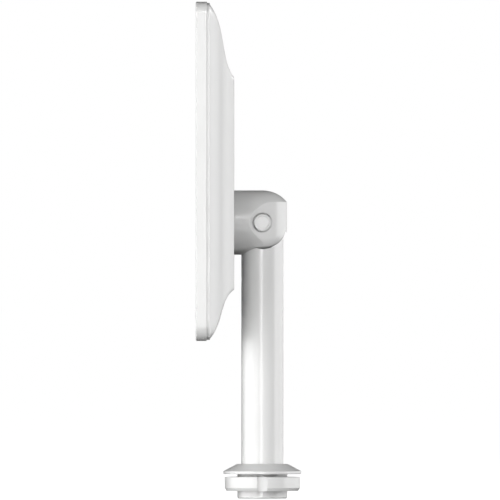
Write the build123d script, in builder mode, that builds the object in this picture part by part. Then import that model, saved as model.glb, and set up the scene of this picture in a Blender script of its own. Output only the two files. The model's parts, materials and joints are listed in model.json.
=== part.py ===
"""Customer pole display: a screen head on a friction tilt hinge, a swivelling pole and a screw-down base.

Millimetres, +Z up, the screen faces -Y. The origin is on the pole's axis, in the plane of the base
flange's underside, which is the face that lies on the counter.
"""
from math import cos, pi, radians, sin, sqrt
import os

from build123d import *

os.makedirs("parts", exist_ok=True)

# ---------------------------------------------------------------------------------------------
# Driving dimensions
# ---------------------------------------------------------------------------------------------
RUNNING = 0.05            # radial running clearance of shafts in their holes
WALL = 2.5                # moulded wall of the head

# Screen head: a 15.6 inch wide panel, 344.2 x 193.5 visible
HEAD_WIDTH = 377.0
HEAD_LOW = 93.85
HEAD_HIGH = 328.65
HEAD_MID = (HEAD_LOW + HEAD_HIGH) / 2
FRONT_Y = -46.2
GAP_Y = -38.4             # shadow gap between the bezel and the rear cover
COVER_Y = -36.6
BACK_Y = -19.8
CORNER_HIGH = 8.0
CORNER_LOW = 12.0
VIEW_WIDTH = 344.2
VIEW_HEIGHT = 193.5

# Rear cover's ogee: how far each side draws in from the seam to the flat back
INSET_HIGH = 52.0
INSET_LOW = 35.4
INSET_SIDE = 46.0
OGEE_DEPTH = 18.1
COVER_ROUND = 3.0
OGEE_HIGH = ((0.75, 0.30), (0.45, 0.75))    # Bezier handles, in parts of depth and inset
OGEE_LOW = ((0.62, 0.28), (0.40, 0.78))

# Pole and tilt hinge
POLE_R = 14.75
POLE_WALL = 1.75
PIVOT_Z = 176.0
HOOD_R = 22.5
HOOD_REAR_R = 17.3
HOOD_LOWER_R = 18.2
HOOD_FLARE_Y = -9.0
HOOD_ROUND = 8.0
SADDLE_GAP = 0.3
TILT_BACK = 45.0
SLOT_HALF = 6.5
EAR_OUT = 5.7
EAR_IN = 2.7
EAR_R = 6.5
BOLT_R = 2.5
CAP_R = 5.95
CAP_HOLE_R = 7.0
CAP_FACE_X = 18.0
BOLT_SEAT_X = 13.0

# Base: flange on the counter, hollow threaded shank through it
FLANGE_TOP = 7.0
FLANGE_TOP_R = 17.9
RIM_R = 27.3
RIM_HIGH = 2.0
SHANK_R = 17.5
SHANK_END = -17.15
RELIEF = (-10.75, -11.75, 0.3)   # top, bottom, depth of the thread relief
BUSH_OUT_R = 16.0
THROAT_R = 15.0
LIP_TOP = -9.5
LIP_LOW = -12.0
LIP_R = 12.0
CABLE_R = 8.0

# Lock nut
NUT_TOP = -2.05
NUT_HEIGHT = 9.7
NUT_R = 26.6
NUT_CHAMFER = (2.1, 1.3)    # along the axis, radial
NOTCH_WIDTH = 7.0
NOTCH_DEPTH = 3.0


# ---------------------------------------------------------------------------------------------
# Helpers
# ---------------------------------------------------------------------------------------------
def facing(y):
    """The upright plane at depth y, seen from the front: its normal points to -Y."""
    return Plane.XZ.offset(-y)


def save(piece, label):
    """Label a finished piece and write its STEP file."""
    piece.part.label = label
    export_step(piece.part, f"parts/{label}.step")


def upright_slab(width, low, high, y_front, y_back, low_r, high_r, hole=None):
    """A slab between two depths with rounded corners; hole is (width, low, high, radius)."""
    with BuildPart() as slab:
        with BuildSketch(facing(y_back)) as outline:
            with Locations((0, (low + high) / 2)):
                Rectangle(width, high - low)
            fillet(outline.vertices().group_by(Axis.Y)[0], low_r)
            fillet(outline.vertices().group_by(Axis.Y)[-1], high_r)
            if hole:
                with Locations((0, (hole[1] + hole[2]) / 2)):
                    RectangleRounded(hole[0], hole[2] - hole[1], hole[3], mode=Mode.SUBTRACT)
        extrude(amount=y_back - y_front)
    return slab.part


def y_cylinders(points, radius, y_from, y_to):
    """Equal cylinders along Y at (x, z) points."""
    with BuildPart() as group:
        with BuildSketch(facing(y_to)):
            with Locations(*points):
                Circle(radius)
        extrude(amount=y_to - y_from)
    return group.part


def y_screws(points, seat_y, head, shank, toward):
    """Equal screws along Y. head and shank are (radius, length); the shank points toward +1 or -1."""
    head_r, head_height = head
    shank_r, shank_length = shank
    with BuildPart() as group:
        with BuildSketch(facing(seat_y)):
            with Locations(*points):
                Circle(head_r)
        extrude(amount=toward * head_height)
        with BuildSketch(facing(seat_y - toward * head_height)):
            with Locations(*points):
                RegularPolygon(head_r * 0.5, 6)
        extrude(amount=-toward * head_height * 0.5, mode=Mode.SUBTRACT)
        with BuildSketch(facing(seat_y)):
            with Locations(*points):
                Circle(shank_r)
        extrude(amount=-toward * shank_length)
    return group.part


def ring(inner_r, outer_r, low, high):
    """A plain ring about the pole's axis."""
    with BuildPart() as body:
        with BuildSketch(Plane.XY.offset(low)):
            Circle(outer_r)
            Circle(inner_r, mode=Mode.SUBTRACT)
        extrude(amount=high - low)
    return body.part


def pivot_disc(outer_r, inner_r, x_from, x_to):
    """A plain disc or ring about the tilt axis."""
    with BuildPart() as body:
        with BuildSketch(Plane.YZ.offset(x_from)):
            with Locations((0, PIVOT_Z)):
                Circle(outer_r)
                if inner_r:
                    Circle(inner_r, mode=Mode.SUBTRACT)
        extrude(amount=x_to - x_from)
    return body.part


def corners(half_x, half_z, mid_x=0.0, mid_z=0.0):
    """The four corner points of a rectangle in (x, z)."""
    return [(mid_x + sx * half_x, mid_z + sz * half_z) for sx in (-1, 1) for sz in (-1, 1)]


# ---------------------------------------------------------------------------------------------
# Screen head: bezel, glass and LCD module
# ---------------------------------------------------------------------------------------------
GLASS_FRONT = FRONT_Y + 0.2
GLASS_BACK = GLASS_FRONT + 1.5
TAPE_BACK = GLASS_BACK + 0.4
LEDGE_BACK = TAPE_BACK + 1.0
LCD_BACK = LEDGE_BACK + 3.6
FRAME_BACK = LEDGE_BACK + 2.2
CHASSIS_FRONT = LCD_BACK + 0.3
CHASSIS_BACK = CHASSIS_FRONT + 1.0
GLASS_MARGIN = 4.5
LCD_WIDTH = 355.0
LCD_HEIGHT = 212.0
LCD_SHEET = 0.4
WINDOW = (VIEW_WIDTH + 3, HEAD_MID - VIEW_HEIGHT / 2 - 1.5, HEAD_MID + VIEW_HEIGHT / 2 + 1.5, 1.0)
BOSS_X = 181.6
BOSS_R = 3.1
chassis_points = [(side * BOSS_X, HEAD_MID + up) for side in (-1, 1) for up in (-88, 0, 88)]

glass_low = HEAD_LOW + GLASS_MARGIN
glass_high = HEAD_HIGH - GLASS_MARGIN
glass_width = HEAD_WIDTH - 2 * GLASS_MARGIN

with BuildPart() as front_bezel:
    add(upright_slab(HEAD_WIDTH, HEAD_LOW, HEAD_HIGH, FRONT_Y, GAP_Y, CORNER_LOW, CORNER_HIGH))
    fillet(front_bezel.faces().sort_by(Axis.Y)[0].edges(), 0.9)
    fillet(front_bezel.faces().sort_by(Axis.Y)[-1].edges(), 0.4)
    add(upright_slab(HEAD_WIDTH - 1.6, HEAD_LOW + 0.8, HEAD_HIGH - 0.8, GAP_Y, COVER_Y,
                     CORNER_LOW - 0.8, CORNER_HIGH - 0.8))
    with BuildSketch(facing(TAPE_BACK)):
        with Locations((0, HEAD_MID)):
            RectangleRounded(glass_width + 0.6, glass_high - glass_low + 0.6, 6.3)
    extrude(amount=20, mode=Mode.SUBTRACT)
    with BuildSketch(facing(LEDGE_BACK)):
        with Locations((0, (WINDOW[1] + WINDOW[2]) / 2)):
            RectangleRounded(WINDOW[0], WINDOW[2] - WINDOW[1], WINDOW[3])
    extrude(amount=20, mode=Mode.SUBTRACT)
    with BuildSketch(facing(COVER_Y)):
        with Locations((0, HEAD_MID)):
            RectangleRounded(HEAD_WIDTH - 2 * WALL, HEAD_HIGH - HEAD_LOW - 2 * WALL, 6.0)
    extrude(amount=COVER_Y - LEDGE_BACK, mode=Mode.SUBTRACT)
    with BuildSketch(facing(CHASSIS_FRONT)):
        with Locations(*chassis_points):
            Circle(BOSS_R)
            Circle(1.2, mode=Mode.SUBTRACT)
    extrude(amount=CHASSIS_FRONT - LEDGE_BACK)
save(front_bezel, "front_bezel")

with BuildPart() as cover_glass:
    add(upright_slab(glass_width, glass_low, glass_high, GLASS_FRONT, GLASS_BACK, 6.0, 6.0))
    chamfer(cover_glass.faces().sort_by(Axis.Y)[0].edges(), 0.3)
save(cover_glass, "cover_glass")

with BuildPart() as glass_tape:
    add(upright_slab(glass_width - 2, glass_low + 1, glass_high - 1, GLASS_BACK, TAPE_BACK, 5.0, 5.0,
                     hole=(WINDOW[0] + 2, WINDOW[1] - 1, WINDOW[2] + 1, 2.0)))
save(glass_tape, "glass_tape")

lcd_low = HEAD_MID - LCD_HEIGHT / 2
lcd_high = HEAD_MID + LCD_HEIGHT / 2
inner_low = lcd_low + LCD_SHEET
inner_high = lcd_high - LCD_SHEET
inner_width = LCD_WIDTH - 2 * LCD_SHEET

with BuildPart() as lcd_frame:
    add(upright_slab(LCD_WIDTH, lcd_low, lcd_high, LEDGE_BACK, FRAME_BACK, 1.0, 1.0,
                     hole=(inner_width, inner_low, inner_high, 0.5)))
    add(upright_slab(LCD_WIDTH, lcd_low, lcd_high, LEDGE_BACK, LEDGE_BACK + LCD_SHEET, 1.0, 1.0, hole=WINDOW))
save(lcd_frame, "lcd_frame")

cell_front = LEDGE_BACK + LCD_SHEET
cell_back = cell_front + 1.2
sheets_back = cell_back + 0.5
guide_back = LCD_BACK - LCD_SHEET
with BuildPart() as lcd_cell:
    add(upright_slab(inner_width - 0.6, inner_low + 0.3, inner_high - 0.3, cell_front, cell_back, 0.5, 0.5))
save(lcd_cell, "lcd_cell")

with BuildPart() as diffuser_sheets:
    add(upright_slab(inner_width - 2, inner_low + 1, inner_high - 1, cell_back, sheets_back, 0.5, 0.5))
save(diffuser_sheets, "diffuser_sheets")

with BuildPart() as light_guide:
    add(upright_slab(inner_width - 2, inner_low + 4, inner_high - 1, sheets_back, guide_back, 0.5, 0.5))
save(light_guide, "light_guide")

with BuildPart() as led_strip:
    with BuildSketch(facing(guide_back)):
        with Locations((0, inner_low + 1.2)):
            Rectangle(inner_width - 20, 1.0)
    extrude(amount=guide_back - sheets_back - 0.1)
    with BuildSketch(facing(guide_back - 0.2)):
        with Locations((0, inner_low + 2.6)):
            with GridLocations(9.0, 1.0, 34, 1):
                Rectangle(5.0, 1.8)
    extrude(amount=0.8)
save(led_strip, "led_strip")

with BuildPart() as lcd_tray:
    add(upright_slab(LCD_WIDTH, lcd_low, lcd_high, FRAME_BACK, LCD_BACK, 1.0, 1.0))
    add(upright_slab(inner_width, inner_low, inner_high, LEDGE_BACK, guide_back, 0.5, 0.5), mode=Mode.SUBTRACT)
save(lcd_tray, "lcd_tray")

# ---------------------------------------------------------------------------------------------
# Screen head: chassis, boards and the plate that carries the hinge
# ---------------------------------------------------------------------------------------------
PLATE_BACK = BACK_Y - WALL
PLATE_FRONT = PLATE_BACK - 2.5
POST_POINTS = corners(38, 22, 0, PIVOT_Z)
HINGE_POINTS = corners(14, 12, 0, PIVOT_Z)
COVER_POINTS = [(side * 124.0, z) for side in (-1, 1) for z in (HEAD_LOW + 48, HEAD_HIGH - 64)]
BOARD_GAP = 4.0
BOARD_THICK = 1.6
board_front = CHASSIS_BACK + BOARD_GAP
board_back = board_front + BOARD_THICK
MAIN_BOARD = (-98.0, 208.0, 100.0, 80.0)
TOUCH_BOARD = (96.0, 214.0, 70.0, 46.0)


def board_holes(board, margin=4.0):
    """The four fixing points of a circuit board given as (x, z, width, height)."""
    x, z, width, height = board
    return corners(width / 2 - margin, height / 2 - margin, x, z)


def circuit_board(board):
    """A bare circuit board with its four fixing holes."""
    x, z, width, height = board
    with BuildPart() as blank:
        with BuildSketch(facing(board_back)):
            with Locations((x, z)):
                RectangleRounded(width, height, 2.0)
            with Locations(*board_holes(board)):
                Circle(1.6, mode=Mode.SUBTRACT)
        extrude(amount=BOARD_THICK)
    return blank.part


board_points = board_holes(MAIN_BOARD) + board_holes(TOUCH_BOARD)

with BuildPart() as chassis_plate:
    add(upright_slab(2 * BOSS_X + 8, HEAD_MID - 104, HEAD_MID + 104, CHASSIS_FRONT, CHASSIS_BACK, 5, 5))
    with BuildSketch(facing(CHASSIS_BACK)):
        with Locations(*chassis_points):
            Circle(1.7)
        with Locations(*board_points):
            Circle(1.2)
        with Locations(*COVER_POINTS):
            Circle(1.4)
        with Locations(*POST_POINTS):
            Circle(2.0)
        with Locations((0, HEAD_HIGH - 56), (0, HEAD_LOW + 40)):
            with GridLocations(46, 1, 5, 1):
                SlotOverall(30, 6)
    extrude(amount=CHASSIS_BACK - CHASSIS_FRONT, mode=Mode.SUBTRACT)
save(chassis_plate, "chassis_plate")

with BuildPart() as chassis_screws:
    add(y_screws(chassis_points, CHASSIS_BACK, (2.6, 1.5), (1.15, 4.5), -1))
save(chassis_screws, "chassis_screws")

with BuildPart() as board_standoffs:
    with BuildSketch(facing(board_front)):
        with Locations(*board_points):
            RegularPolygon(2.9, 6)
            Circle(1.25, mode=Mode.SUBTRACT)
    extrude(amount=BOARD_GAP)
save(board_standoffs, "board_standoffs")

with BuildPart() as board_screws:
    add(y_screws(board_points, board_back, (2.6, 1.5), (1.2, 5.0), -1))
save(board_screws, "board_screws")

with BuildPart() as display_board:
    add(circuit_board(MAIN_BOARD))
save(display_board, "display_board")

with BuildPart() as touch_board:
    add(circuit_board(TOUCH_BOARD))
save(touch_board, "touch_board")

with BuildPart() as scaler_heatsink:
    with BuildSketch(facing(board_back + 2.0)):
        with Locations((MAIN_BOARD[0] - 12, MAIN_BOARD[1] + 6)):
            Rectangle(30, 30)
    extrude(amount=2.0)
    with BuildSketch(facing(board_back + 5.2)):
        with Locations((MAIN_BOARD[0] - 12, MAIN_BOARD[1] + 6)):
            with GridLocations(4.0, 1, 8, 1):
                Rectangle(1.2, 30)
    extrude(amount=3.2)
save(scaler_heatsink, "scaler_heatsink")

with BuildPart() as board_sockets:
    with BuildSketch(facing(board_back + 5.0)):
        with Locations((MAIN_BOARD[0] + 40, MAIN_BOARD[1] + 14), (MAIN_BOARD[0] + 40, MAIN_BOARD[1] - 10)):
            Rectangle(12, 16)
        with Locations((TOUCH_BOARD[0] - 27, TOUCH_BOARD[1])):
            Rectangle(8, 14)
    extrude(amount=5.0)
save(board_sockets, "board_sockets")

with BuildPart() as chip_set:
    with BuildSketch(facing(board_back + 1.4)):
        with Locations((MAIN_BOARD[0] + 16, MAIN_BOARD[1] + 20), (TOUCH_BOARD[0] + 8, TOUCH_BOARD[1] + 4)):
            Rectangle(14, 14)
        with Locations((MAIN_BOARD[0] + 16, MAIN_BOARD[1] - 8), (TOUCH_BOARD[0] + 10, TOUCH_BOARD[1] - 13)):
            Rectangle(10, 6)
    extrude(amount=1.4)
    with BuildSketch(facing(board_back + 5.5)):
        with Locations((MAIN_BOARD[0] - 30, MAIN_BOARD[1] - 24)):
            with GridLocations(12, 1, 3, 1):
                Circle(4.0)
    extrude(amount=5.5)
save(chip_set, "chip_set")

RIBBON_X = MAIN_BOARD[0] - 6
ribbon_low = lcd_low + 0.6
ribbon_top = MAIN_BOARD[1] - MAIN_BOARD[3] / 2 + 6
with BuildPart() as panel_ribbon:
    with BuildSketch(Plane.YZ.offset(RIBBON_X)):
        with BuildLine():
            Polyline((board_front, ribbon_top), (board_front - 0.3, ribbon_top),
                     (board_front - 0.3, ribbon_low), (LCD_BACK, ribbon_low), (LCD_BACK, ribbon_low - 0.3),
                     (board_front, ribbon_low - 0.3), close=True)
        make_face()
    extrude(amount=14, both=True)
save(panel_ribbon, "panel_ribbon")

with BuildPart() as mount_plate:
    add(upright_slab(92, PIVOT_Z - 29, PIVOT_Z + 29, PLATE_FRONT, PLATE_BACK, 4, 4))
    with BuildSketch(facing(PLATE_BACK)):
        with Locations((0, PIVOT_Z)):
            Circle(9.5)
        with Locations(*HINGE_POINTS):
            Circle(2.2)
        with Locations(*POST_POINTS):
            Circle(1.6)
    extrude(amount=PLATE_BACK - PLATE_FRONT, mode=Mode.SUBTRACT)
save(mount_plate, "mount_plate")

with BuildPart() as mount_posts:
    with BuildSketch(facing(PLATE_FRONT)):
        with Locations(*POST_POINTS):
            RegularPolygon(4.2, 6)
            Circle(1.6, mode=Mode.SUBTRACT)
    extrude(amount=PLATE_FRONT - CHASSIS_BACK)
save(mount_posts, "mount_posts")

with BuildPart() as mount_screws:
    add(y_screws(HINGE_POINTS, PLATE_FRONT, (3.5, 2.6), (1.95, 14.3), 1))
save(mount_screws, "mount_screws")


# ---------------------------------------------------------------------------------------------
# Screen head: rear cover, an ogee shell
# ---------------------------------------------------------------------------------------------
def bezier(u, first, second):
    """One coordinate of a cubic Bezier from 0 to 1."""
    return 3 * u * (1 - u) ** 2 * first + 3 * u ** 2 * (1 - u) * second + u ** 3


def ogee(depth, handles):
    """How much of its inset a side has drawn in at a depth, both in parts of the whole."""
    (depth_1, inset_1), (depth_2, inset_2) = handles
    low, high = 0.0, 1.0
    for _ in range(40):
        middle = (low + high) / 2
        if bezier(middle, depth_1, depth_2) < depth:
            low = middle
        else:
            high = middle
    return bezier(low, inset_1, inset_2)


def cover_section(y, shape_y, wall):
    """The cover's outline in the plane y, shaped as at shape_y and drawn in by wall.

    Its corners close from the bezel's radius to a small one toward the back.
    """
    depth = min(1.0, max(0.0, (shape_y - (BACK_Y - OGEE_DEPTH)) / OGEE_DEPTH))
    low = HEAD_LOW + wall + INSET_LOW * ogee(depth, OGEE_LOW)
    high = HEAD_HIGH - wall - INSET_HIGH * ogee(depth, OGEE_HIGH)
    width = HEAD_WIDTH - 2 * wall - 2 * INSET_SIDE * ogee(depth, OGEE_LOW)
    with BuildSketch(facing(y)) as outline:
        with Locations((0, (low + high) / 2)):
            Rectangle(width, high - low)
        fade = (1 - depth) ** 3
        fillet(outline.vertices().group_by(Axis.Y)[0], COVER_ROUND + (CORNER_LOW - COVER_ROUND) * fade - wall)
        fillet(outline.vertices().group_by(Axis.Y)[-1], COVER_ROUND + (CORNER_HIGH - COVER_ROUND) * fade - wall)
    return outline.sketch


SECTIONS = 9
outer_depths = [COVER_Y + (BACK_Y - COVER_Y) * i / (SECTIONS - 1) for i in range(SECTIONS)]
inner_depths = [COVER_Y + (PLATE_BACK - COVER_Y) * i / (SECTIONS - 1) for i in range(SECTIONS)]
VENT_POINTS = [(side * 62.0, HEAD_HIGH - 76) for side in (-1, 1)]

with BuildPart() as rear_cover:
    loft([cover_section(y, y, 0.0) for y in outer_depths])
    loft([cover_section(y, y + 2.2, WALL) for y in inner_depths], mode=Mode.SUBTRACT)
    with BuildSketch(facing(PLATE_BACK)):
        with Locations(*COVER_POINTS):
            Circle(4.6)
    extrude(amount=PLATE_BACK - CHASSIS_BACK)
    with BuildSketch(facing(BACK_Y)):
        with Locations(*COVER_POINTS):
            Circle(3.3)
    extrude(amount=5.0, mode=Mode.SUBTRACT)
    with BuildSketch(facing(BACK_Y)):
        with Locations(*COVER_POINTS):
            Circle(1.7)
        with Locations(*HINGE_POINTS):
            Circle(2.2)
        with Locations((0, PIVOT_Z)):
            Circle(7.5)
    extrude(amount=20, mode=Mode.SUBTRACT)
    with BuildSketch(facing(BACK_Y)):
        with Locations(*VENT_POINTS):
            with GridLocations(6.0, 1, 13, 1):
                SlotOverall(16, 2.4, rotation=90)
    extrude(amount=4.0, mode=Mode.SUBTRACT)
save(rear_cover, "rear_cover")

with BuildPart() as cover_screws:
    add(y_screws(COVER_POINTS, BACK_Y - 5.0, (2.8, 2.0), (1.35, 10.6), -1))
save(cover_screws, "cover_screws")

with BuildPart() as cover_grommet:
    with BuildSketch(facing(BACK_Y)):
        with Locations((0, PIVOT_Z)):
            Circle(7.5)
            Circle(4.5, mode=Mode.SUBTRACT)
    extrude(amount=WALL)
    with BuildSketch(facing(PLATE_BACK)):
        with Locations((0, PIVOT_Z)):
            Circle(9.0)
            Circle(4.5, mode=Mode.SUBTRACT)
    extrude(amount=1.4)
save(cover_grommet, "cover_grommet")

# ---------------------------------------------------------------------------------------------
# Tilt hinge: hood, pivot bolt and its small parts
# ---------------------------------------------------------------------------------------------
KNUCKLE_ROOM = EAR_R + 0.5
CABLE_ROOM = 10.0
HOOD_STEP_Y = -4.0


def side_plane(x=0.0):
    """The plane seen from the +X side, with its local origin on the tilt axis."""
    return Plane(origin=(x, 0, PIVOT_Z), x_dir=(0, 1, 0), z_dir=(1, 0, 0))


def on_lower_round(edge):
    """Whether an edge lies on the round that the hood's lower rear turns in, about the tilt axis."""
    points = [edge.position_at(t) for t in (0.1, 0.5, 0.9)]
    return all(abs(sqrt(p.Y ** 2 + (p.Z - PIVOT_Z) ** 2) - HOOD_LOWER_R) < 0.02 for p in points)


with BuildPart() as hood_dome:
    with BuildSketch(facing(0)):
        with Locations((0, PIVOT_Z)):
            Circle(HOOD_R)
    extrude(amount=-BACK_Y)
    with Locations((0, 0, PIVOT_Z)):
        Sphere(HOOD_R)

with BuildPart() as hinge_hood:
    with BuildSketch(Plane.XY.offset(PIVOT_Z - 30)):
        with Locations((0, (BACK_Y + HOOD_FLARE_Y) / 2)):
            Rectangle(2 * HOOD_R, HOOD_FLARE_Y - BACK_Y)
        Circle(HOOD_REAR_R)
        make_hull()
    extrude(amount=60)
    with BuildSketch(side_plane()):
        with Locations((HOOD_STEP_Y, 0)):
            Rectangle(60, 60, align=(Align.MIN, Align.MAX))
        Circle(HOOD_LOWER_R, mode=Mode.SUBTRACT)
    extrude(amount=40, both=True, mode=Mode.SUBTRACT)
    fillet(hinge_hood.edges().filter_by(on_lower_round).filter_by(lambda e: abs(e.center().Y + 4) > 0.1),
           HOOD_ROUND)
    add(hood_dome.part, mode=Mode.INTERSECT)
    with BuildSketch(side_plane()):
        Circle(KNUCKLE_ROOM)
        Rectangle(2 * KNUCKLE_ROOM, 60, align=(Align.CENTER, Align.MAX))
        Rectangle(2 * KNUCKLE_ROOM, 60, rotation=TILT_BACK, align=(Align.CENTER, Align.MAX))
        Rectangle(CABLE_ROOM, 60, align=(Align.MAX, Align.MAX))
        Rectangle(-2 * BACK_Y, 14, align=(Align.MAX, Align.CENTER))
    extrude(amount=SLOT_HALF, both=True, mode=Mode.SUBTRACT)
    for side in (-1, 1):
        with BuildSketch(side_plane(side * BOLT_SEAT_X)):
            Circle(CAP_HOLE_R)
        extrude(amount=side * 20, mode=Mode.SUBTRACT)
    with BuildSketch(side_plane()):
        Circle(BOLT_R + RUNNING)
    extrude(amount=30, both=True, mode=Mode.SUBTRACT)
    with BuildSketch(facing(BACK_Y)):
        with Locations(*HINGE_POINTS):
            Circle(2.0)
    extrude(amount=-10.5, mode=Mode.SUBTRACT)
    with BuildSketch(facing(BACK_Y)):
        with Locations((-15, PIVOT_Z), (15, PIVOT_Z)):
            RectangleRounded(8, 15, 1.5)
    extrude(amount=-10.0, mode=Mode.SUBTRACT)
save(hinge_hood, "hinge_hood")

WASHER_SHIM = 0.02
with BuildPart() as friction_washers:
    for side in (-1, 1):
        near, far = sorted((side * (EAR_OUT + WASHER_SHIM), side * (SLOT_HALF - WASHER_SHIM)))
        add(pivot_disc(6.2, BOLT_R + RUNNING, near, far))
save(friction_washers, "friction_washers")

BOLT_HEAD = 4.0
SPRING_PACK = 1.6
with BuildPart() as pivot_bolt:
    add(pivot_disc(4.25, 0, -BOLT_SEAT_X - BOLT_HEAD, -BOLT_SEAT_X))
    add(pivot_disc(BOLT_R, 0, -BOLT_SEAT_X, BOLT_SEAT_X + 4.0))
    with BuildSketch(side_plane(-BOLT_SEAT_X - BOLT_HEAD)):
        RegularPolygon(2.3, 6)
    extrude(amount=2.4, mode=Mode.SUBTRACT)
save(pivot_bolt, "pivot_bolt")

with BuildPart() as spring_washers:
    for i in range(2):
        add(pivot_disc(4.6, BOLT_R + RUNNING, BOLT_SEAT_X + i * SPRING_PACK / 2, BOLT_SEAT_X + (i + 1) * SPRING_PACK / 2))
        chamfer(spring_washers.edges().filter_by(GeomType.CIRCLE).sort_by(Axis.X)[-1:], 0.2)
save(spring_washers, "spring_washers")

with BuildPart() as pivot_nut:
    with BuildSketch(side_plane(BOLT_SEAT_X + SPRING_PACK)):
        RegularPolygon(4.6, 6)
        Circle(BOLT_R + 0.02, mode=Mode.SUBTRACT)
    extrude(amount=2.4)
save(pivot_nut, "pivot_nut")


def pivot_cap(side):
    """A cup-shaped cap over the bolt's head or nut, with a rounded and slightly dished face."""
    with BuildPart() as cap:
        with BuildSketch(Plane.XZ) as profile:
            with BuildLine():
                Polyline((BOLT_SEAT_X, PIVOT_Z + 5.2), (BOLT_SEAT_X, PIVOT_Z + CAP_R),
                         (CAP_FACE_X, PIVOT_Z + CAP_R), (CAP_FACE_X, PIVOT_Z + 5.0),
                         (CAP_FACE_X - 0.3, PIVOT_Z + 4.2), (CAP_FACE_X - 0.3, PIVOT_Z),
                         (BOLT_SEAT_X + 4.1, PIVOT_Z), (BOLT_SEAT_X + 4.1, PIVOT_Z + 5.2), close=True)
            make_face()
            rim = profile.vertices().filter_by(lambda v: v.X > CAP_FACE_X - 0.1 and v.Y > PIVOT_Z + 5.5)
            fillet(rim, 0.5)
        revolve(axis=Axis((0, 0, PIVOT_Z), (1, 0, 0)))
        if side < 0:
            mirror(about=Plane.YZ, mode=Mode.REPLACE)
    return cap


save(pivot_cap(-1), "pivot_cap_left")
save(pivot_cap(1), "pivot_cap_right")

# ---------------------------------------------------------------------------------------------
# Pole: tube, knuckle at its top, turned foot at its bottom
# ---------------------------------------------------------------------------------------------
TUBE_END = -6.4
FOOT_TOP = 12.0
KNUCKLE_LOW = PIVOT_Z - 52
KNUCKLE_SHOULDER = PIVOT_Z - HOOD_R - 1.5
CROSS_SCREW_Z = PIVOT_Z - 40
tube_inner_r = POLE_R - POLE_WALL
saddle_r = HOOD_LOWER_R + SADDLE_GAP

with BuildPart() as pole_tube:
    add(ring(tube_inner_r, POLE_R, TUBE_END, PIVOT_Z))
    with BuildSketch(side_plane()):
        Circle(saddle_r)
        Rectangle(60, 60, align=(Align.CENTER, Align.MIN))
    extrude(amount=20, both=True, mode=Mode.SUBTRACT)
    with BuildSketch(facing(HOOD_STEP_Y + SADDLE_GAP)):
        with Locations((0, PIVOT_Z)):
            Circle(HOOD_R + SADDLE_GAP)
    extrude(amount=20, mode=Mode.SUBTRACT)
    with BuildSketch(facing(0)):
        with Locations((0, CROSS_SCREW_Z)):
            Circle(2.1)
    extrude(amount=20, both=True, mode=Mode.SUBTRACT)
save(pole_tube, "pole_tube")

with BuildPart() as knuckle:
    add(ring(9.0, tube_inner_r, KNUCKLE_LOW, KNUCKLE_SHOULDER))
    with BuildSketch(side_plane()):
        Circle(EAR_R)
        Rectangle(2 * EAR_R, PIVOT_Z - KNUCKLE_SHOULDER + 6, align=(Align.CENTER, Align.MAX))
    extrude(amount=EAR_OUT, both=True)
    with BuildSketch(side_plane()):
        Rectangle(60, 120)
    extrude(amount=EAR_IN, both=True, mode=Mode.SUBTRACT)
    add(ring(9.0, tube_inner_r, KNUCKLE_LOW, KNUCKLE_SHOULDER))
    with BuildSketch(side_plane()):
        Circle(BOLT_R + RUNNING)
    extrude(amount=20, both=True, mode=Mode.SUBTRACT)
    with BuildSketch(facing(0)):
        with Locations((0, CROSS_SCREW_Z)):
            Circle(1.7)
    extrude(amount=20, both=True, mode=Mode.SUBTRACT)
save(knuckle, "knuckle")

with BuildPart() as ear_spacer:
    add(pivot_disc(3.7, BOLT_R + RUNNING, -EAR_IN, EAR_IN))
save(ear_spacer, "ear_spacer")

with BuildPart() as knuckle_screws:
    for toward in (-1, 1):
        add(y_cylinders([(0, CROSS_SCREW_Z)], 1.65, *sorted((toward * 9.6, toward * (POLE_R - 0.6)))))
        with BuildSketch(facing(toward * (POLE_R - 1.8))):
            with Locations((0, CROSS_SCREW_Z)):
                Circle(1.65)
        with BuildSketch(facing(toward * (POLE_R - 0.5))):
            with Locations((0, CROSS_SCREW_Z)):
                Circle(2.0)
        loft()
save(knuckle_screws, "knuckle_screws")

with BuildPart() as throat_grommet:
    add(ring(6.0, 9.0, KNUCKLE_LOW, KNUCKLE_LOW + 8))
    add(ring(6.0, 11.0, KNUCKLE_LOW - 1.5, KNUCKLE_LOW))
save(throat_grommet, "throat_grommet")

SHOULDER_LOW = LIP_TOP + 0.05
SPIGOT_END = -15.8
CLIP_LOW = -15.3
CLIP_HIGH = -14.3
CLIP_GROOVE_R = 11.0
STOP_RADIUS = 13.5
STOP_PIN_R = 0.9
WEB_HALF_ANGLE = 12.0

with BuildPart() as pole_foot:
    add(ring(CABLE_R, tube_inner_r, TUBE_END, FOOT_TOP))
    add(ring(CABLE_R, POLE_R - 0.05, SHOULDER_LOW, TUBE_END))
    add(ring(CABLE_R, LIP_R - RUNNING, SPIGOT_END, SHOULDER_LOW))
    add(ring(CLIP_GROOVE_R, 20, CLIP_LOW, CLIP_HIGH), mode=Mode.SUBTRACT)
    with BuildSketch(Plane.XY.offset(SHOULDER_LOW)):
        Circle(STOP_RADIUS + 1.1)
        Circle(STOP_RADIUS - 1.1, mode=Mode.SUBTRACT)
        with BuildLine(mode=Mode.PRIVATE) as wedge:
            Polyline((0, 0), (40 * cos(radians(90 - WEB_HALF_ANGLE)), 40 * sin(radians(90 - WEB_HALF_ANGLE))),
                     (40 * cos(radians(90 + WEB_HALF_ANGLE)), 40 * sin(radians(90 + WEB_HALF_ANGLE))), close=True)
        make_face(wedge.edges(), mode=Mode.SUBTRACT)
    extrude(amount=1.6, mode=Mode.SUBTRACT)
save(pole_foot, "pole_foot")

with BuildPart() as thrust_washer:
    add(ring(LIP_R + 0.1, 14.6, LIP_LOW - 0.9, LIP_LOW - 0.05))
save(thrust_washer, "thrust_washer")

with BuildPart() as wave_spring:
    add(ring(LIP_R + 0.1, 14.3, CLIP_HIGH + 0.02, LIP_LOW - 0.92))
save(wave_spring, "wave_spring")

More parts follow.
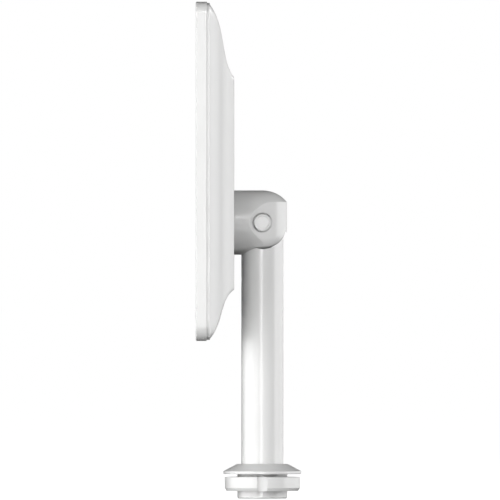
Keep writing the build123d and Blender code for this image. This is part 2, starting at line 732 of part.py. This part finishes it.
with BuildPart() as retaining_ring:
    add(ring(CLIP_GROOVE_R + 0.02, 14.0, CLIP_LOW + 0.05, CLIP_HIGH - 0.02))
    with Locations((0, 12.5, (CLIP_LOW + CLIP_HIGH) / 2)):
        Box(6, 5, 3, mode=Mode.SUBTRACT)
save(retaining_ring, "retaining_ring")

# ---------------------------------------------------------------------------------------------
# Base: flange with its hollow shank, bush, stop pin and gasket
# ---------------------------------------------------------------------------------------------
GASKET_IN_R = 19.0
GASKET_OUT_R = 23.5
GASKET_DEPTH = 1.2
BUSH_LOW = 0.5

with BuildPart() as base_flange:
    with BuildSketch(Plane.XZ) as profile:
        with BuildLine():
            Polyline((BUSH_OUT_R, FLANGE_TOP), (FLANGE_TOP_R, FLANGE_TOP), (RIM_R, RIM_HIGH), (RIM_R, 0.4),
                     (RIM_R - 0.4, 0), (GASKET_OUT_R, 0), (GASKET_OUT_R, GASKET_DEPTH), (GASKET_IN_R, GASKET_DEPTH),
                     (GASKET_IN_R, 0), (SHANK_R, 0), (SHANK_R, RELIEF[0]), (SHANK_R - RELIEF[2], RELIEF[0]),
                     (SHANK_R - RELIEF[2], RELIEF[1]), (SHANK_R, RELIEF[1]),
                     (SHANK_R, SHANK_END + 0.8), (SHANK_R - 0.8, SHANK_END),
                     (THROAT_R, SHANK_END), (THROAT_R, LIP_LOW), (LIP_R, LIP_LOW), (LIP_R, LIP_TOP),
                     (THROAT_R, LIP_TOP), (THROAT_R, BUSH_LOW), (BUSH_OUT_R, BUSH_LOW), close=True)
        make_face()
        crown = profile.vertices().filter_by(lambda v: v.X > FLANGE_TOP_R - 0.1 and v.Y > FLANGE_TOP - 0.1)
        fillet(crown, 0.6)
    revolve(axis=Axis.Z)
    with BuildSketch(Plane.XY.offset(LIP_LOW)):
        with Locations((0, -STOP_RADIUS)):
            Circle(STOP_PIN_R)
    extrude(amount=LIP_TOP - LIP_LOW, mode=Mode.SUBTRACT)
save(base_flange, "base_flange")

with BuildPart() as stop_pin:
    with BuildSketch(Plane.XY.offset(LIP_LOW + 0.3)):
        with Locations((0, -STOP_RADIUS)):
            Circle(STOP_PIN_R)
    extrude(amount=3.4)
save(stop_pin, "stop_pin")

with BuildPart() as swivel_bush:
    add(ring(POLE_R + RUNNING, BUSH_OUT_R, BUSH_LOW, FLANGE_TOP))
    chamfer(swivel_bush.edges().filter_by(GeomType.CIRCLE).group_by(Axis.Z)[-1].sort_by(SortBy.RADIUS)[:1], 0.4)
save(swivel_bush, "swivel_bush")

with BuildPart() as flange_gasket:
    add(ring(GASKET_IN_R + 0.05, GASKET_OUT_R - 0.05, 0, GASKET_DEPTH))
save(flange_gasket, "flange_gasket")

# ---------------------------------------------------------------------------------------------
# Lock nut and its captive washer
# ---------------------------------------------------------------------------------------------
WASHER_R = 22.0
WASHER_THICK = 0.9
nut_low = NUT_TOP - NUT_HEIGHT
nut_bore_r = SHANK_R + RUNNING

with BuildPart() as lock_nut:
    add(ring(nut_bore_r, NUT_R, nut_low, NUT_TOP))
    with BuildSketch(Plane.XZ):
        with BuildLine():
            Polyline((NUT_R + 1, nut_low - 1), (NUT_R + 1, nut_low + NUT_CHAMFER[0]), (NUT_R, nut_low + NUT_CHAMFER[0]),
                     (NUT_R - NUT_CHAMFER[1], nut_low), (NUT_R - NUT_CHAMFER[1], nut_low - 1), close=True)
        make_face()
    revolve(axis=Axis.Z, mode=Mode.SUBTRACT)
    add(ring(nut_bore_r - 1, WASHER_R + 0.2, NUT_TOP - WASHER_THICK - 0.05, NUT_TOP + 1), mode=Mode.SUBTRACT)
    with PolarLocations(NUT_R, 4):
        Box(2 * NOTCH_DEPTH, NOTCH_WIDTH, 60, mode=Mode.SUBTRACT)
save(lock_nut, "lock_nut")

with BuildPart() as nut_washer:
    add(ring(SHANK_R + 0.1, WASHER_R, NUT_TOP - WASHER_THICK, NUT_TOP))
save(nut_washer, "nut_washer")
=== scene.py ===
"""Looks of the customer pole display: finishes, small surface detail, studio and camera."""

import json
import math

import bpy
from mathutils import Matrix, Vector


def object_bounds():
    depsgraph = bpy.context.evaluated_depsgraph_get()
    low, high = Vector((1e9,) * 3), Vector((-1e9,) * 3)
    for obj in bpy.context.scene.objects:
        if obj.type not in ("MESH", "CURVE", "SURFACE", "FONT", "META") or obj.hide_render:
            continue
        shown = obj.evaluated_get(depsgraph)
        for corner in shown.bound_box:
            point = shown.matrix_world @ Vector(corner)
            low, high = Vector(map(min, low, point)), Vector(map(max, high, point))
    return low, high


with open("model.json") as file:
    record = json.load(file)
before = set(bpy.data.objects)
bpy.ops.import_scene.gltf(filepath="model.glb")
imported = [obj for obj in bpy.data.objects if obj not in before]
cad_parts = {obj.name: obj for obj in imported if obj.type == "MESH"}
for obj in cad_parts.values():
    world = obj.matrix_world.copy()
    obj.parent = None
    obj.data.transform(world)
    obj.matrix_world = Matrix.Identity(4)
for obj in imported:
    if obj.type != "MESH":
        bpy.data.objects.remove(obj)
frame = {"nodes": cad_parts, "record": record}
rest_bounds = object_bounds()
MM = 0.001
GRAIN_HEIGHT = 0.02 * MM


# ---------------------------------------------------------------------------------------------
# Materials
# ---------------------------------------------------------------------------------------------
class Finish:
    """A Principled material and the few nodes that give its surface texture."""

    def __init__(self, name, color, roughness, metallic=0.0, coat=0.0, ior=1.5):
        self.material = bpy.data.materials.new(name)
        self.material.use_nodes = True
        self.nodes = self.material.node_tree.nodes
        self.links = self.material.node_tree.links
        self.shader = self.nodes["Principled BSDF"]
        self.put("Base Color", (*color, 1.0))
        self.put("Roughness", roughness)
        self.put("Metallic", metallic)
        self.put("IOR", ior)
        self.put("Coat Weight", coat)
        self.place = self.nodes.new("ShaderNodeTexCoord").outputs["Object"]

    def put(self, socket, value):
        """Sets a shader socket that is the same all over the surface."""
        self.shader.inputs[socket].default_value = value

    def noise(self, scale, detail=2.0, stretch=None):
        """A noise value between 0 and 1 over the surface; scale is in cycles a metre."""
        source = self.place
        if stretch:
            mapping = self.nodes.new("ShaderNodeMapping")
            mapping.inputs["Scale"].default_value = stretch
            self.links.new(source, mapping.inputs["Vector"])
            source = mapping.outputs["Vector"]
        noise = self.nodes.new("ShaderNodeTexNoise")
        noise.inputs["Scale"].default_value = scale
        noise.inputs["Detail"].default_value = detail
        self.links.new(source, noise.inputs["Vector"])
        return noise.outputs["Fac"]

    def vary(self, socket, value, low, high):
        """Lets a number socket run from low to high with value."""
        spread = self.nodes.new("ShaderNodeMapRange")
        spread.inputs["To Min"].default_value = low
        spread.inputs["To Max"].default_value = high
        self.links.new(value, spread.inputs["Value"])
        self.links.new(spread.outputs["Result"], self.shader.inputs[socket])

    def tint(self, value, first, second):
        """Lets the base colour run from first to second with value."""
        ramp = self.nodes.new("ShaderNodeValToRGB")
        ramp.color_ramp.elements[0].position = 0.35
        ramp.color_ramp.elements[0].color = (*first, 1.0)
        ramp.color_ramp.elements[1].position = 0.65
        ramp.color_ramp.elements[1].color = (*second, 1.0)
        self.links.new(value, ramp.inputs["Fac"])
        self.links.new(ramp.outputs["Color"], self.shader.inputs["Base Color"])

    def bump(self, value, strength, distance):
        """Raises the surface by distance metres with value, at the given strength."""
        bump = self.nodes.new("ShaderNodeBump")
        bump.inputs["Strength"].default_value = strength
        bump.inputs["Distance"].default_value = distance
        self.links.new(value, bump.inputs["Height"])
        self.links.new(bump.outputs["Normal"], self.shader.inputs["Normal"])


def shade(color, factor):
    """The colour made darker or lighter by a factor."""
    return tuple(c * factor for c in color)


def moulded(name, color, roughness, grain=5200.0, depth=0.04):
    """Injection-moulded plastic with a fine spark texture."""
    finish = Finish(name, color, roughness, coat=0.2)
    finish.put("Coat Roughness", 0.08)
    finish.tint(finish.noise(60.0), shade(color, 0.985), color)
    finish.vary("Roughness", finish.noise(140.0, 3.0), roughness - 0.04, roughness + 0.04)
    finish.bump(finish.noise(grain, 2.0), depth, GRAIN_HEIGHT)
    return finish.material


def powder_coat(name, color, roughness, depth=0.02):
    """Satin powder coat: a very slight orange peel."""
    finish = Finish(name, color, roughness, coat=0.2)
    finish.put("Coat Roughness", 0.18)
    finish.tint(finish.noise(45.0), shade(color, 0.992), color)
    finish.vary("Roughness", finish.noise(90.0, 1.0), roughness - 0.01, roughness + 0.01)
    finish.bump(finish.noise(2200.0, 1.0), depth, GRAIN_HEIGHT)
    return finish.material


def metal(name, color, roughness, stretch=(40.0, 40.0, 900.0)):
    """Bare metal with a drawn or turned grain."""
    finish = Finish(name, color, roughness, metallic=1.0)
    grain = finish.noise(1.0, 4.0, stretch)
    finish.tint(grain, shade(color, 0.88), color)
    finish.vary("Roughness", grain, roughness - 0.06, roughness + 0.08)
    finish.bump(grain, 0.08, GRAIN_HEIGHT)
    return finish.material


def elastomer(name, color, roughness=0.75):
    """Rubber, foam or fibre: matt, with a coarse grain."""
    finish = Finish(name, color, roughness)
    finish.tint(finish.noise(300.0), shade(color, 0.8), shade(color, 1.2))
    finish.bump(finish.noise(2500.0), 0.12, 0.03 * MM)
    return finish.material


def glossy(name, color, roughness=0.2):
    """Smooth plastic, lacquer or ceramic."""
    finish = Finish(name, color, roughness)
    finish.tint(finish.noise(200.0), shade(color, 0.92), color)
    finish.vary("Roughness", finish.noise(400.0), roughness - 0.05, roughness + 0.08)
    return finish.material


def dark_glass(name):
    """Touch glass with an anti-reflective coat, over a dark panel."""
    finish = Finish(name, (0.008, 0.009, 0.011), 0.06, ior=1.52)
    finish.put("Specular IOR Level", 0.25)
    finish.tint(finish.noise(9.0), (0.007, 0.008, 0.010), (0.010, 0.011, 0.013))
    finish.vary("Roughness", finish.noise(30.0), 0.05, 0.09)
    return finish.material


# The head and bezel are darker than the rest only to match their brightness under these lights:
# painted shade in their base colour.
WHITE = (0.75, 0.75, 0.745)
HEAD_SHADED_WHITE = (0.71, 0.71, 0.705)
BEZEL_SHADED_WHITE = (0.645, 0.645, 0.64)
FINISHES = {
    "head_white": moulded("head_white", HEAD_SHADED_WHITE, 0.30),
    "hood_white": powder_coat("hood_white", WHITE, 0.28),
    "pole_white": powder_coat("pole_white", WHITE, 0.28),
    "base_white": powder_coat("base_white", WHITE, 0.28),
    "cap_white": moulded("cap_white", WHITE, 0.30),
    "front_glass": dark_glass("front_glass"),
    "adhesive_foam": elastomer("adhesive_foam", (0.03, 0.03, 0.03)),
    "lcd_black": glossy("lcd_black", (0.012, 0.012, 0.014)),
    "optical_film": moulded("optical_film", (0.85, 0.87, 0.88), 0.5),
    "acrylic": glossy("acrylic", (0.78, 0.84, 0.86), 0.15),
    "led_board": glossy("led_board", (0.85, 0.82, 0.62), 0.4),
    "sheet_steel": metal("sheet_steel", (0.60, 0.61, 0.63), 0.34, (30.0, 900.0, 900.0)),
    "screw_steel": metal("screw_steel", (0.52, 0.52, 0.54), 0.30),
    "spring_steel": metal("spring_steel", (0.42, 0.42, 0.44), 0.32),
    "circuit_green": glossy("circuit_green", (0.02, 0.16, 0.06), 0.3),
    "chip_black": moulded("chip_black", (0.02, 0.02, 0.02), 0.5),
    "socket_ivory": glossy("socket_ivory", (0.75, 0.71, 0.60), 0.35),
    "heatsink_alu": metal("heatsink_alu", (0.62, 0.63, 0.65), 0.38),
    "ribbon_amber": glossy("ribbon_amber", (0.50, 0.24, 0.05), 0.3),
    "brass_parts": metal("brass_parts", (0.72, 0.54, 0.25), 0.3),
    "grommet_black": elastomer("grommet_black", (0.03, 0.03, 0.03)),
    "gasket_grey": elastomer("gasket_grey", (0.12, 0.12, 0.12)),
    "friction_fibre": elastomer("friction_fibre", (0.24, 0.17, 0.11)),
    "acetal": moulded("acetal", (0.74, 0.74, 0.72), 0.38),
    "turned_alu": metal("turned_alu", (0.66, 0.67, 0.69), 0.3, (60.0, 60.0, 2500.0)),
    "cast_zinc": powder_coat("cast_zinc", (0.62, 0.62, 0.62), 0.4),
}
# The front bezel's own finish is the head's moulded plastic with more painted shade: only its white
# is darker.
OWN_FINISHES = {"front_bezel": moulded("bezel_shaded_white", BEZEL_SHADED_WHITE, 0.30)}
slot_of = {s["node"]: s["material_slot"] for s in frame["record"]["subparts"]}
for node, thing in frame["nodes"].items():
    thing.data.materials.clear()
    thing.data.materials.append(OWN_FINISHES.get(node, FINISHES[slot_of[node]]))


# ---------------------------------------------------------------------------------------------
# Studio: area lights 2 m from the object, and white all round
# ---------------------------------------------------------------------------------------------
LIGHT_DISTANCE = 2.0
LIGHT_TARGET = Vector((0.0, 0.0, 0.16))
# Which lights there are, and 17 of the 21 wattages, are the rounded result of a least-squares fit
# to the photograph's brightness. The watts of front_spot, front_high_right, left_far and left_edge
# were then changed.
LIGHTS = {
    # name: azimuth, elevation, width, height, watts, whether its light also goes on from
    # one surface to the next
    "front_strip": (-6.0, 0.0, 0.14, 1.0, 7.9, True),
    "front_strip_right": (2.0, 0.0, 0.14, 1.0, 1.2, True),
    "front_spot": (3.0, 0.0, 0.28, 0.3, 0.9, False),
    "front_high": (6.0, 20.0, 0.5, 0.4, 7.0, False),
    "front_high_right": (30.0, 20.0, 0.5, 0.4, 7.0, False),
    "front_low": (-6.0, -20.0, 0.5, 0.4, 2.7, False),
    "front_low_right": (6.0, -20.0, 0.5, 0.4, 1.6, False),
    "front_low_left": (-34.0, -20.0, 0.5, 0.4, 4.9, False),
    "front_left": (-34.0, 0.0, 0.5, 1.0, 6.0, True),
    "left": (-60.0, 0.0, 0.7, 1.0, 8.9, True),
    "left_high": (-60.0, 20.0, 0.5, 0.4, 5.3, False),
    "left_low": (-60.0, -20.0, 0.5, 0.4, 1.3, False),
    "left_far": (-80.0, 0.0, 0.7, 1.0, 6.8, True),
    "left_edge": (-100.0, 0.0, 0.7, 1.0, 6.8, True),
    "right_near": (80.0, 0.0, 0.7, 1.0, 7.2, True),
    "right": (100.0, 0.0, 0.7, 1.0, 5.4, True),
    "right_far": (120.0, 0.0, 0.7, 1.0, 4.6, True),
    "right_high": (120.0, 20.0, 0.5, 0.4, 9.3, False),
    "right_low": (120.0, -20.0, 0.5, 0.4, 2.6, False),
    "rear_right": (140.0, 0.0, 0.7, 1.0, 3.0, True),
    "rear": (160.0, 0.0, 0.7, 1.0, 1.8, False),
}


def softbox(name, azimuth, elevation, width, height, watts, indirect):
    """An area light; azimuth 0 is on the camera's side (+X), 90 is behind the pole (+Y)."""
    a, e = math.radians(azimuth), math.radians(elevation)
    away = Vector((math.cos(e) * math.cos(a), math.cos(e) * math.sin(a), math.sin(e)))
    data = bpy.data.lights.new(name, "AREA")
    data.shape = "RECTANGLE"
    data.size = width
    data.size_y = height
    data.energy = watts
    if not indirect:
        data.cycles.max_bounces = 0
    light = bpy.data.objects.new(name, data)
    light.location = LIGHT_TARGET + away * LIGHT_DISTANCE
    light.rotation_euler = away.to_track_quat("Z", "Y").to_euler()
    light.visible_camera = False
    scene.collection.objects.link(light)


scene = bpy.context.scene
for name, values in LIGHTS.items():
    softbox(name, *values)


def seen_from_above(name):
    """A plain white that only shows from above, so that it hides nothing from a camera below it."""
    material = bpy.data.materials.new(name)
    material.use_nodes = True
    nodes, links = material.node_tree.nodes, material.node_tree.links
    shader = nodes["Principled BSDF"]
    shader.inputs["Emission Color"].default_value = (1.0, 1.0, 1.0, 1.0)
    shader.inputs["Emission Strength"].default_value = 1.0
    opacity = nodes.new("ShaderNodeMapRange")
    opacity.inputs["To Min"].default_value = 1.0
    opacity.inputs["To Max"].default_value = 0.0
    backfacing = nodes.new("ShaderNodeNewGeometry").outputs["Backfacing"]
    links.new(backfacing, opacity.inputs["Value"])
    links.new(opacity.outputs["Result"], shader.inputs["Alpha"])
    return material


FLOOR_SIZE = 100.0
FLOOR_GAP = 0.5 * MM
bpy.ops.mesh.primitive_plane_add(size=FLOOR_SIZE, location=(0.0, 0.0, rest_bounds[0][2] - FLOOR_GAP))
floor = bpy.context.object
floor.name = "floor"
floor.data.materials.append(seen_from_above("studio_white"))
# The camera sees the floor, and it neither lights nor shades the object.
floor.visible_diffuse = False
floor.visible_glossy = False
floor.visible_transmission = False
floor.visible_shadow = False

world = bpy.data.worlds.new("studio")
scene.world = world
world.use_nodes = True
background = world.node_tree.nodes["Background"]
background.inputs["Color"].default_value = (1.0, 1.0, 1.0, 1.0)
background.inputs["Strength"].default_value = 1.0
# The same goes for the white all round: only the camera sees it.
world.cycles_visibility.diffuse = False
world.cycles_visibility.glossy = False
world.cycles_visibility.transmission = False
world.cycles_visibility.scatter = False
scene.view_settings.view_transform = "Standard"

# ---------------------------------------------------------------------------------------------
# Camera: level, square to the head's side, from far away
# ---------------------------------------------------------------------------------------------
CAMERA_DISTANCE = 16.0
VIEW_CENTRE = (-0.00865, 0.1568)  # Y and Z of the middle of the picture
VIEW_WIDTH = 0.35
SENSOR_MM = 36.0
CLIP_NEAR, CLIP_FAR = 1.0, 100.0
camera_data = bpy.data.cameras.new("camera")
camera_data.sensor_width = SENSOR_MM
camera_data.lens = SENSOR_MM * CAMERA_DISTANCE / VIEW_WIDTH
camera_data.clip_start = CLIP_NEAR
camera_data.clip_end = CLIP_FAR
camera_data.dof.use_dof = False
camera = bpy.data.objects.new("camera", camera_data)
camera.location = (CAMERA_DISTANCE, *VIEW_CENTRE)
camera.rotation_euler = (math.radians(90.0), 0.0, math.radians(90.0))
scene.collection.objects.link(camera)
scene.camera = camera
